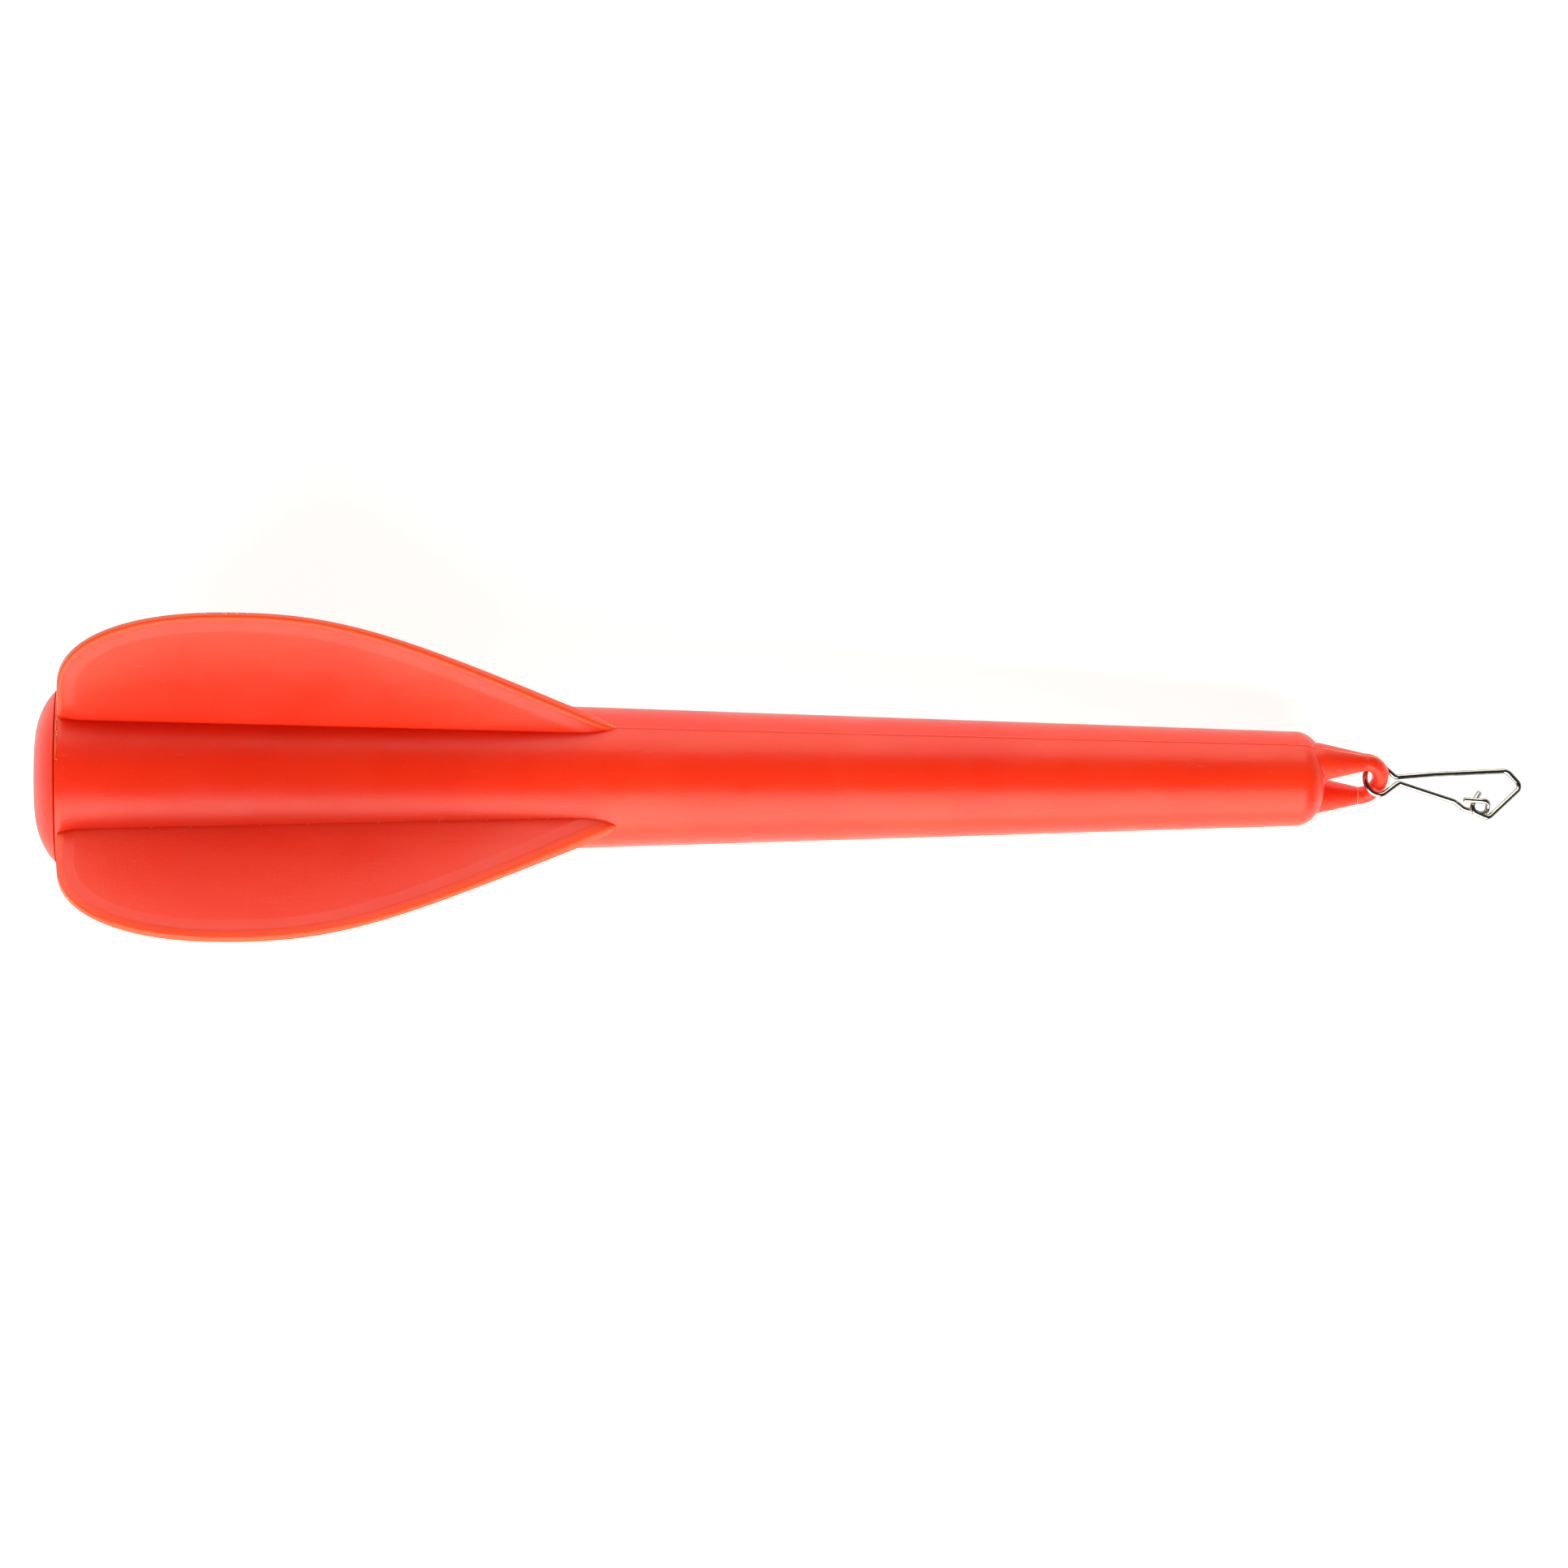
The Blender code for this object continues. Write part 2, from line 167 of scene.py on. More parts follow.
WELD_LINE_START = -0.3          # radians round the leg
WELD_LINE_SHARE = 0.7

# wire snap
WIRE_RADIUS = 0.65
WIRE_SIDES = 28
WIRE_BALL_STEPS = 8
WIRE_BALL_TIP = 0.004
WIRE_CUT_BEVEL = 0.12
RING_CENTRE_X = 311.55
RING_LENGTH = 3.18
RING_WIDTH = 3.9
RING_STEPS = 64
RING_LEAVE_LOW = -62.0          # degrees
RING_LEAVE_HIGH = 66.0
SNAP_TWIST = 15.0               # degrees about its own length
SNAP_DROOP = 9.0                # degrees down from the body's axis
# the wire's corners from above, some with a height, and the radius of the bend at each inner one
LATCH_PIVOT = (4.75, -1.22)
RING_FOOT = (4.25, -1.5)
FRAME_ARM = ((4.6, 0.42), (14.0, 1.12))
FRAME_NOSE = ((33.4, 1.95), (36.7, -1.8))
FRAME_HOOK = ((27.13, -9.39), (22.62, -7.28), (25.75, -3.1))
FRAME_BENDS = (1.0, 12.0, 2.4, 1.6, 1.9, 1.8)
LATCH_ARM = ((5.15, -0.98), (19.3, -5.25, -0.5))
LATCH_HOOK = ((22.0, -6.7, -1.7), (27.5, -8.15, -1.6), (27.1, -5.75, 1.7), (20.75, -5.3, 1.7))
LATCH_BENDS = (0.9, 3.0, 3.0, 1.3, 1.3)

# colours
PLASTIC_DEEP = (0.9, 0.025, 0.005)
PLASTIC_WARM = (0.94, 0.035, 0.007)
# painted glow: the orange of light shining through thin rims and flash, put into the colour
PLASTIC_THIN_GLOW = (1.0, 0.065, 0.006)
# painted glow: the seam flash made bright orange, lighter than its shade under the fin
PLASTIC_FLASH_GLOW = (1.0, 0.17, 0.03)
# painted shade: the body's plastic darkened on the cap in place of dimmer light there
PLASTIC_CAP_SHADED = (0.86, 0.029, 0.005)
PLASTIC_SCUFF = (0.95, 0.16, 0.10)
TORN_DEEP = (1.0, 0.25, 0.10)
TORN_PALE = (1.0, 0.72, 0.42)
STEEL_CLEAN = (0.40, 0.39, 0.37)
STEEL_TARNISHED = (0.22, 0.205, 0.185)
STEEL_GRAZING = (0.3, 0.3, 0.3, 1.0)
FOAM_WALL = (0.62, 0.58, 0.48)
FOAM_CELL = (0.88, 0.85, 0.78)
BALLAST_PIT = (0.10, 0.10, 0.11)
BALLAST_SKIN = (0.30, 0.30, 0.32)
FLOOR_DULL = (0.86, 0.86, 0.86)
FLOOR_PALE = (0.9, 0.9, 0.9)

# studio: radiance of the lights with 1.0 as white, leans in degrees from straight above
LIGHT_DISTANCE = 1.8
LIGHT_LENGTH = 3.0
LIGHT_SHIFT = -0.3              # towards the cap, in metres
LIGHT_COLOUR = (1.0, 0.98, 0.85)
KEY_RADIANCE = 4.5
KEY_LEANS = (-88.0, -30.0)
FILL_RADIANCE = 2.8
FILL_LEANS = (46.0, 89.0)
HORIZON_GLOW = 0.35
OVERHEAD_GLOW = 0.05
GLOW_FALL = (0.05, 0.45)        # heights between which the first glow turns into the second
FLOOR_GLOW = 0.66
FLOOR_GLOW_COLOUR = (0.94, 0.97, 1.0, 1.0)
FLOOR_HALF = 8.0                # metres
FLOOR_SQUARES = 8


def make_camera():
    """The photograph's view: straight down on the resting float."""
    middle = (cad_box[0] + cad_box[1]) / 2.0
    lens = bpy.data.cameras.new("camera")
    lens.lens = CAMERA_LENS
    lens.clip_start = CAMERA_NEAR
    camera = bpy.data.objects.new("camera", lens)
    x = middle.x + CAMERA_ASIDE[0]
    y = middle.y + CAMERA_ASIDE[1]
    camera.location = (x, y, cad_box[0].z + CAMERA_HEIGHT)
    camera.rotation_euler.z = math.radians(CAMERA_ROLL)
    bpy.context.scene.collection.objects.link(camera)
    bpy.context.scene.camera = camera


def axis_frame():
    """Matrix from the axis frame in millimetres to the world, from the flat face of the cap."""
    face = frame["record"]["mounts"][0]
    along = -Vector(face["axis"])
    side = Vector((0.0, 1.0, 0.0))
    up = along.cross(side)
    turn = Matrix((along, side, up)).transposed().to_4x4()
    seam = Vector(face["pos_m"]) - along * (CAP_FACE * MM)
    return Matrix.Translation(seam) @ turn @ Matrix.Scale(MM, 4)


# ---------------------------------------------------------------- mesh helpers

def make_piece(name, bm, look, body, slot, *nodes):
    """Finishes a bmesh drawn in the axis frame as a piece of the object."""
    bmesh.ops.recalc_face_normals(bm, faces=bm.faces)
    bmesh.ops.transform(bm, verts=bm.verts, matrix=AXIS)
    mesh = bpy.data.meshes.new(name)
    bm.to_mesh(mesh)
    bm.free()
    for face in mesh.polygons:
        face.use_smooth = True
    piece = bpy.data.objects.new(name, mesh)
    bpy.context.scene.collection.objects.link(piece)
    mesh.materials.append(look)
    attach(piece, body)
    if nodes:
        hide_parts(*nodes)


def skin_rings(bm, rings, closed_across=True):
    """Joins neighbouring rings of vertices with quads; a ring of one vertex makes a fan."""
    for ring, after in zip(rings, rings[1:]):
        count = max(len(ring), len(after))
        steps = count if closed_across else count - 1
        for i in range(steps):
            j = (i + 1) % count
            if len(ring) == 1:
                bm.faces.new((ring[0], after[j], after[i]))
            elif len(after) == 1:
                bm.faces.new((ring[i], ring[j], after[0]))
            else:
                bm.faces.new((ring[i], ring[j], after[j], after[i]))


def revolve(profile, angles):
    """Turns a profile of (x, radius, lift share) points about the axis.

    The lift is the parting line's height at each angle, and the share says how much of it a
    point takes.
    """
    bm = bmesh.new()
    rings = []
    for x, radius, share in profile:
        if radius == 0.0:
            rings.append([bm.verts.new((x, 0.0, 0.0))])
            continue
        ring = []
        for angle, lift in angles:
            reach = radius + lift * share
            ring.append(bm.verts.new((x, reach * math.cos(angle), reach * math.sin(angle))))
        rings.append(ring)
    skin_rings(bm, rings)
    return bm


def parting_angles(sides):
    """Angles round the body with the height of the moulding's parting line at each."""
    stations = {}
    for i in range(sides):
        stations[360.0 * i / sides] = 0.0
    for line in PARTING_ANGLES:
        for step in (-1.0, -0.35, 0.35, 1.0):
            height = PARTING_HEIGHT if abs(step) < 0.5 else 0.0
            stations[line + step * PARTING_WIDTH] = height
        stations.pop(line, None)
    return [(math.radians(angle), stations[angle]) for angle in sorted(stations)]


def tube(points, radii, sides):
    """Sweeps a round section along a path."""
    bm = bmesh.new()
    rings = []
    side = None
    for i, point in enumerate(points):
        before = points[max(i - 1, 0)]
        after = points[min(i + 1, len(points) - 1)]
        along = (after - before).normalized()
        if side is None:
            side = along.orthogonal().normalized()
        side = (side - along * side.dot(along)).normalized()
        up = along.cross(side)
        ring = []
        for k in range(sides):
            angle = 2.0 * math.pi * k / sides
            offset = side * math.cos(angle) + up * math.sin(angle)
            ring.append(bm.verts.new(point + offset * radii[i]))
        rings.append(ring)
    skin_rings(bm, rings)
    bm.faces.new(rings[0])
    bm.faces.new(rings[-1])
    return bm


def bend_path(corners, bends, steps=12):
    """Rounds each inner corner of a path with its bend radius, as wire takes a bend."""
    path = [corners[0]]
    for before, corner, after, bend in zip(corners, corners[1:], corners[2:], bends):
        back = (before - corner).normalized()
        ahead = (after - corner).normalized()
        half = back.angle(ahead) / 2.0
        reach = bend / math.tan(half)
        centre = corner + (back + ahead).normalized() * (bend / math.sin(half))
        start = corner + back * reach - centre
        turn = start.rotation_difference(corner + ahead * reach - centre)
        for k in range(steps + 1):
            path.append(centre + Quaternion().slerp(turn, k / steps) @ start)
    path.append(corners[-1])
    return path


# ---------------------------------------------------------------- node helpers

class Nodes:
    """Short way to write a node material."""

    def __init__(self, name):
        self.material = bpy.data.materials.new(name)
        self.material.use_nodes = True
        self.tree = self.material.node_tree
        self.shader = self.tree.nodes["Principled BSDF"]
        self.place = self.tree.nodes.new("ShaderNodeTexCoord").outputs["Object"]

    def link(self, source, target):
        self.tree.links.new(source, target)

    def set(self, **values):
        for name, value in values.items():
            self.shader.inputs[name.replace("_", " ")].default_value = value

    def stretched(self, scale):
        """Coordinates squeezed by a scale on each axis."""
        mapping = self.tree.nodes.new("ShaderNodeMapping")
        mapping.inputs["Scale"].default_value = scale
        self.link(self.place, mapping.inputs["Vector"])
        return mapping.outputs["Vector"]

    def noise(self, grains_per_metre, detail=3.0, rough=0.5, vector=None):
        node = self.tree.nodes.new("ShaderNodeTexNoise")
        node.inputs["Scale"].default_value = grains_per_metre
        node.inputs["Detail"].default_value = detail
        node.inputs["Roughness"].default_value = rough
        self.link(vector or self.place, node.inputs["Vector"])
        return node.outputs["Fac"]

    def cells(self, cells_per_metre):
        node = self.tree.nodes.new("ShaderNodeTexVoronoi")
        node.inputs["Scale"].default_value = cells_per_metre
        self.link(self.place, node.inputs["Vector"])
        return node.outputs["Distance"]

    def attribute(self, name):
        node = self.tree.nodes.new("ShaderNodeAttribute")
        node.attribute_name = name
        return node.outputs["Fac"]

    def spread(self, value, low, high, to_low, to_high):
        """Maps low..high to to_low..to_high, clamped."""
        node = self.tree.nodes.new("ShaderNodeMapRange")
        node.inputs["From Min"].default_value = low
        node.inputs["From Max"].default_value = high
        node.inputs["To Min"].default_value = to_low
        node.inputs["To Max"].default_value = to_high
        self.link(value, node.inputs["Value"])
        return node.outputs["Result"]

    def mix(self, factor, a, b):
        """Mixes two colours; each is a colour or another node's output."""
        node = self.tree.nodes.new("ShaderNodeMix")
        node.data_type = "RGBA"
        self.link(factor, node.inputs["Factor"])
        for socket, colour in ((node.inputs[6], a), (node.inputs[7], b)):
            if isinstance(colour, tuple):
                socket.default_value = (*colour, 1.0)
            else:
                self.link(colour, socket)
        return node.outputs[2]

    def bump(self, height, distance, strength=1.0, under=None):
        node = self.tree.nodes.new("ShaderNodeBump")
        node.inputs["Distance"].default_value = distance
        node.inputs["Strength"].default_value = strength
        self.link(height, node.inputs["Height"])
        if under:
            self.link(under, node.inputs["Normal"])
        return node.outputs["Normal"]

    def finish(self, colour, roughness, normal):
        self.link(colour, self.shader.inputs["Base Color"])
        self.link(roughness, self.shader.inputs["Roughness"])
        self.link(normal, self.shader.inputs["Normal"])
        return self.material


# ---------------------------------------------------------------- materials

def plastic_look(name, deep=PLASTIC_DEEP, warm=PLASTIC_WARM, gloss=(0.3, 0.4), ior=1.41):
    """Semi-gloss moulded plastic: slow colour drift, a painted orange glow of light through thin edges,
    faint scuffs.
    """
    n = Nodes(name)
    drift = n.spread(n.noise(28.0, 4.0), 0.35, 0.65, 0.0, 1.0)
    colour = n.mix(drift, deep, warm)
    # painted glow: orange mixed in along the thin rims of the fins, where light shines through
    colour = n.mix(n.attribute("edge_glow"), colour, PLASTIC_THIN_GLOW)
    streaks = n.noise(1.0, 6.0, 0.65, n.stretched((160.0, 1500.0, 1500.0)))
    scuffs = n.spread(streaks, 0.64, 0.78, 0.0, 0.5)
    colour = n.mix(scuffs, colour, PLASTIC_SCUFF)
    grain = n.noise(1400.0, 3.0)
    roughness = n.spread(n.noise(90.0, 5.0), 0.3, 0.7, *gloss)
    normal = n.bump(n.noise(45.0, 2.0), 0.0012, 0.35)
    normal = n.bump(grain, 0.00004, 0.6, normal)
    normal = n.bump(streaks, 0.00006, 0.5, normal)
    n.set(IOR=ior)
    return n.finish(colour, roughness, normal)


def flash_look():
    """Thin whitened slivers left by trimming the moulding."""
    n = Nodes("torn_plastic")
    colour = n.mix(n.noise(2500.0, 3.0), TORN_DEEP, TORN_PALE)
    roughness = n.spread(n.noise(3000.0), 0.3, 0.7, 0.45, 0.7)
    return n.finish(colour, roughness, n.bump(n.noise(4000.0), 0.00005))


def steel_look():
    """Bright drawn stainless wire with fine marks and a little tarnish."""
    n = Nodes("polished_wire")
    tarnish = n.spread(n.noise(600.0, 5.0), 0.5, 0.75, 0.0, 0.35)
    colour = n.mix(tarnish, STEEL_CLEAN, STEEL_TARNISHED)
    marks = n.noise(1.0, 5.0, 0.6, n.stretched((900.0, 6000.0, 6000.0)))
    roughness = n.spread(marks, 0.35, 0.7, 0.04, 0.14)
    n.set(Metallic=1.0, Specular_Tint=STEEL_GRAZING)
    return n.finish(colour, roughness, n.bump(marks, 0.000012, 0.5))


def foam_look():
    """Off-white closed-cell foam."""
    n = Nodes("foam_cells")
    cells = n.cells(900.0)
    colour = n.mix(n.spread(cells, 0.0, 0.8, 0.0, 1.0), FOAM_WALL, FOAM_CELL)
    roughness = n.spread(n.noise(300.0), 0.3, 0.7, 0.8, 0.95)
    return n.finish(colour, roughness, n.bump(cells, 0.0004))


def ballast_look():
    """Dull cast weight with a rough skin."""
    n = Nodes("cast_weight")
    pits = n.noise(1200.0, 6.0, 0.7)
    colour = n.mix(pits, BALLAST_PIT, BALLAST_SKIN)
    roughness = n.spread(n.noise(200.0), 0.3, 0.7, 0.5, 0.75)
    n.set(Metallic=0.9)
    return n.finish(colour, roughness, n.bump(pits, 0.0003))


# ---------------------------------------------------------------- body and cap

def cone_radius(x):
    """Radius of the tapered body."""
    return SEAM_RADIUS + (SHOULDER_RADIUS - SEAM_RADIUS) * x / SHOULDER_START


def body(look):
    """Hollow tapered body with its parting line, a softened mouth and the rounded shoulder."""
    profile = [(CAVITY_END, 0.0, 0.0)]
    profile.append((CAVITY_END, cone_radius(CAVITY_END) - WALL, 0.0))
    profile.append((BODY_START, cone_radius(0.0) - WALL, 0.0))
    for length, depth, share in MOUTH_EDGE:
        profile.append((BODY_START + length, cone_radius(0.0) - depth, share))
    for x in np.linspace(PARTING_FULL, SHOULDER_START, BODY_STATIONS):
        profile.append((float(x), cone_radius(float(x)), 1.0))
    rise = SHOULDER_RADIUS - NOSE_FLAT_RADIUS
    for i in range(1, SHOULDER_STEPS + 1):
        angle = math.pi / 2.0 * i / SHOULDER_STEPS
        x = SHOULDER_START + SHOULDER_LENGTH * math.sin(angle)
        profile.append((x, NOSE_FLAT_RADIUS + rise * math.cos(angle), 1.0 - i / SHOULDER_STEPS))
    profile.append((SHOULDER_START + SHOULDER_LENGTH, 0.0, 0.0))
    bm = revolve(profile, parting_angles(BODY_SIDES))
    make_piece("moulded_body", bm, look, "float", "moulding", "body_shell")


def cap(look):
    """Domed cap, its rim softened where it meets the body."""
    last = math.acos((CAP_FACE + CAP_ARC_LENGTH - CAP_RIM) / CAP_ARC_LENGTH)
    profile = [(CAP_FACE, 0.0, 0.0), (CAP_FACE, CAP_FLAT_RADIUS * CAP_FLAT_RING, 0.0)]
    for i in range(CAP_STEPS + 1):
        angle = last * i / CAP_STEPS
        x = CAP_FACE + CAP_ARC_LENGTH * (1.0 - math.cos(angle))
        radius = CAP_FLAT_RADIUS + CAP_ARC_HEIGHT * math.sin(angle)
        edge = CAP_EDGE if i == CAP_STEPS else ((0.0, 0.0),)
        for length, depth in edge:
            profile.append((x - length, radius - depth, 0.0))
    spigot = cone_radius(SPIGOT_END) - WALL - SPIGOT_SLACK
    profile.append((CAP_RIM, spigot, 0.0))
    profile.append((SPIGOT_END - SPIGOT_BEVEL, spigot, 0.0))
    profile.append((SPIGOT_END, spigot - SPIGOT_BEVEL, 0.0))
    profile.append((SPIGOT_END, spigot - SPIGOT_WALL, 0.0))
    profile.append((CAP_FACE + CAP_WALL + CAP_INNER_SLOPE, spigot - SPIGOT_WALL, 0.0))
    profile.append((CAP_FACE + CAP_WALL, CAP_FLAT_RADIUS, 0.0))
    profile.append((CAP_FACE + CAP_WALL, 0.0, 0.0))
    angles = [(2.0 * math.pi * i / BODY_SIDES, 0.0) for i in range(BODY_SIDES)]
    bm = revolve(profile, angles)
    make_piece("domed_cap", bm, look, "float", "cap", "end_cap")


# ---------------------------------------------------------------- fins

def fin_outline():
    """Outer edge of a fin as (x, radius), from the rear root to the tip."""
    points = [(FIN_REAR, cone_radius(FIN_REAR) - FIN_SUNK)]
    for i in range(FIN_OUTLINE_STEPS + 1):
        angle = math.pi / 2.0 * i / FIN_OUTLINE_STEPS
        across = math.cos(angle) ** (2.0 / FIN_ROUNDING)
        rise = math.sin(angle) ** (2.0 / FIN_ROUNDING)
        x = FIN_PEAK_X - (FIN_PEAK_X - FIN_REAR) * across
        points.append((x, FIN_CORNER_RADIUS + (FIN_PEAK_RADIUS - FIN_CORNER_RADIUS) * rise))
    tip = np.array((FIN_TIP_X, cone_radius(FIN_TIP_X)))
    peak = np.array((FIN_PEAK_X, FIN_PEAK_RADIUS))
    from_peak = peak + (FIN_PEAK_REACH, 0.0)
    to_tip = tip + (-FIN_TIP_REACH, FIN_TIP_REACH * FIN_TIP_SLOPE)
    for i in range(1, FIN_OUTLINE_STEPS + 1):
        t = i / FIN_OUTLINE_STEPS
        s = 1.0 - t
        points.append(s**3 * peak + 3 * s * s * t * from_peak + 3 * s * t * t * to_tip + t**3 * tip)
    beyond = FIN_SUNK * 3.0
    points.append(tip + (beyond, -beyond * FIN_TIP_SLOPE))
    return np.array(points, dtype=float)


def sunk_radius(x):
    """Radius inside the body that the root of a fin reaches."""
    return cone_radius(x) - FIN_SUNK


def inset_curve(curve, inset, count):
    """Moves an open curve inwards, trims it inside the body and spaces its points evenly."""
    ahead = np.gradient(curve, axis=0)
    ahead /= np.linalg.norm(ahead, axis=1)[:, None]
    inward = np.stack((ahead[:, 1], -ahead[:, 0]), axis=1)
    moved = curve + inward * inset
    moved[0] = (FIN_REAR + inset, sunk_radius(FIN_REAR + inset))
    height = moved[:, 1] - sunk_radius(moved[:, 0])
    kept = np.nonzero(height > 1e-6)[0]
    last = kept[-1]
    end = moved[last]
    if last + 1 < len(moved):
        part = height[last] / (height[last] - height[last + 1])
        end = moved[last] + (moved[last + 1] - moved[last]) * part
    trimmed = np.vstack((moved[:1], moved[kept[0]:last + 1], end))
    length = np.concatenate(((0.0,), np.cumsum(np.linalg.norm(np.diff(trimmed, axis=0), axis=1))))
    wanted = np.linspace(0.0, length[-1], count)
    even_x = np.interp(wanted, length, trimmed[:, 0])
    even_r = np.interp(wanted, length, trimmed[:, 1])
    even_r[0] = sunk_radius(even_x[0])
    even_r[-1] = sunk_radius(even_x[-1])
    return np.stack((even_x, even_r), axis=1)


def fin_half(section, x, radius, inset):
    """Half thickness of a fin: a flat field that a bevel and a rim make thinner towards the edge."""
    rise = (radius - cone_radius(x)) / (FIN_PEAK_RADIUS - SEAM_RADIUS)
    flare = (1.0 - rise) if section.rounded else (1.0 - rise) ** 2
    half = section.field_half + (section.root_half - section.field_half) * flare
    bevel = (section.rim_width + section.bevel_width - inset) / section.bevel_width
    bevel = min(max(bevel, 0.0), 1.0)
    share = min(inset / section.rim_width, 1.0)
    if section.rounded:
        bevel = bevel * bevel * (3.0 - 2.0 * bevel)
        share = math.sqrt(share * (2.0 - share))
    half -= section.bevel_drop * bevel
    return half - section.rim_drop * (1.0 - share)


def point_taper(x):
    """Share of the thickness that is left towards the pointed tip."""
    gone = (x - FIN_POINT_END + FIN_POINT_LENGTH) / FIN_POINT_LENGTH
    return math.sqrt(1.0 - min(max(gone, 0.0), 0.99) ** 2)


def fin_rows(outline, section):
    """Rows of (x, radius, half thickness, share of painted edge glow) from the edge of a fin to its
    root.
    """
    insets = [section.rim_width * share for share in RIM_ROWS]
    insets += [section.rim_width + section.bevel_width * share for share in BEVEL_ROWS]
    rows = []
    for inset in insets:
        row = []
        for x, r in inset_curve(outline, inset, FIN_STATIONS):
            # share of the painted orange glow, strongest at the edge
            edge_glow = 1.0 - min(inset / section.rim_width, 1.0) ** RIM_FADE
            row.append((x, r, fin_half(section, x, r, inset), edge_glow))
        rows.append(row)
    foot = rows[-1]
    first = np.array(foot[0][:2])
    last = np.array(foot[-1][:2])
    for share in FIELD_ROWS:
        row = []
        for i, (x, r, half, edge_glow) in enumerate(foot):
            chord = first + (last - first) * i / (FIN_STATIONS - 1)
            px = x + (chord[0] - x) * share
            pr = r + (sunk_radius(px) - r) * share
            row.append((px, pr, fin_half(section, px, pr, insets[-1]), 0.0))
        rows.append(row)
    return rows


def fin_sheet(bm, edge_glow, rows, side):
    """One face of a fin, with its rows joined from the edge to the root."""
    made = []
    for row in rows:
        ring = []
        for x, r, half, edge_glow_share in row:
            vertex = bm.verts.new((x, r, side * half * point_taper(x)))
            vertex[edge_glow] = edge_glow_share
            ring.append(vertex)
        made.append(ring)
    skin_rings(bm, made, closed_across=False)
    return made


def fin(number, look):
    """A fin; the odd ones lie in the mould's parting plane, the even ones stand across it."""
    section = PARTING_SECTION if number % 2 == 1 else DRAFTED_SECTION
    rows = fin_rows(fin_outline(), section)
    bm = bmesh.new()
    edge_glow = bm.verts.layers.float.new("edge_glow")
    near = fin_sheet(bm, edge_glow, rows, 1.0)
    far = fin_sheet(bm, edge_glow, rows, -1.0)
    skin_rings(bm, [near[0], far[0]], closed_across=False)
    skin_rings(bm, [near[-1], far[-1]], closed_across=False)
    for end in (0, -1):
        rim = [row[end] for row in near]
        rim += [row[end] for row in reversed(far)]
        bm.faces.new(rim)
    bmesh.ops.remove_doubles(bm, verts=bm.verts, dist=1e-4)
    angle = math.radians(FIN_FIRST_ANGLE + 360.0 / FIN_COUNT * (number - 1))
    bmesh.ops.rotate(bm, verts=bm.verts, matrix=Matrix.Rotation(angle, 3, "X"))
    make_piece(f"moulded_fin_{number}", bm, look, "float", "moulding", f"fin_{number}")


# ---------------------------------------------------------------- tow eye

def tow_eye(look):
    """Round bow: one tapering leg, the arch and the other leg, its feet sunk in the shoulder."""
    turn = Matrix.Rotation(math.radians(EYE_ANGLE), 3, "X")
    legs = []
    for x in np.linspace(EYE_ROOT, EYE_ARC_START, EYE_LEG_STATIONS, endpoint=False):
        taper = (x - EYE_LEG_TAPER_START) / (EYE_ARC_START - EYE_LEG_TAPER_START)
        thinned = (EYE_ARC_RADIUS - EYE_LEG_RADIUS) * max(float(taper), 0.0)
        legs.append((float(x), EYE_LEG_RADIUS + thinned))
    points = [turn @ Vector((x, EYE_LEG_OFFSET, 0.0)) for x, radius in legs]
    radii = [radius for x, radius in legs]
    for i in range(EYE_ARC_STEPS + 1):
        angle = math.pi * i / EYE_ARC_STEPS
        x = EYE_ARC_START + EYE_ARC_LENGTH * math.sin(angle)
        points.append(turn @ Vector((x, EYE_LEG_OFFSET * math.cos(angle), 0.0)))
        radii.append(EYE_ARC_RADIUS + (EYE_TIP_RADIUS - EYE_ARC_RADIUS) * math.sin(angle))
    for x, radius in reversed(legs):
        points.append(turn @ Vector((x, -EYE_LEG_OFFSET, 0.0)))
        radii.append(radius)
    bm = tube(points, radii, EYE_SIDES)
    make_piece("moulded_bow", bm, look, "float", "moulding", "tow_eye")


# ---------------------------------------------------------------- moulding flash

def on_body(x, degrees, rise):
    """A point over the body's surface, at an angle from +Y towards +Z."""
    angle = math.radians(degrees)
    radius = cone_radius(x) + rise
    return Vector((x, radius * math.cos(angle), radius * math.sin(angle)))


def on_fin(number, x, aside):
    """A point on a fin's edge, aside from its middle plane."""
    outline = fin_outline()
    radius = np.interp(x, outline[:, 0], outline[:, 1])
    angle = math.radians(FIN_FIRST_ANGLE + 360.0 / FIN_COUNT * (number - 1))
    return Matrix.Rotation(angle, 3, "X") @ Vector((x, radius, aside))


def flake(bm, rng, middle, length, width):
    """A tiny torn sliver lying along the body: two points and a ragged waist."""
    lean = Vector((rng.uniform(-0.3, 0.3), rng.uniform(-0.3, 0.3), rng.uniform(-0.3, 0.3)))
    along = (Vector((1.0, 0.0, 0.0)) + lean).normalized()
    side = along.orthogonal().normalized()
    up = along.cross(side)
    first = bm.verts.new(middle - along * length / 2.0)
    last = bm.verts.new(middle + along * length / 2.0)
    waist = []
    for k in range(FLAKE_CORNERS):
        angle = 2.0 * math.pi * k / FLAKE_CORNERS
        reach = width / 2.0 * rng.uniform(0.5, 1.2)
        slide = along * (length * rng.uniform(-0.2, 0.2))
        out = side * math.cos(angle) + up * math.sin(angle)
        waist.append(bm.verts.new(middle + slide + out * reach))
    skin_rings(bm, [[first], waist, [last]])


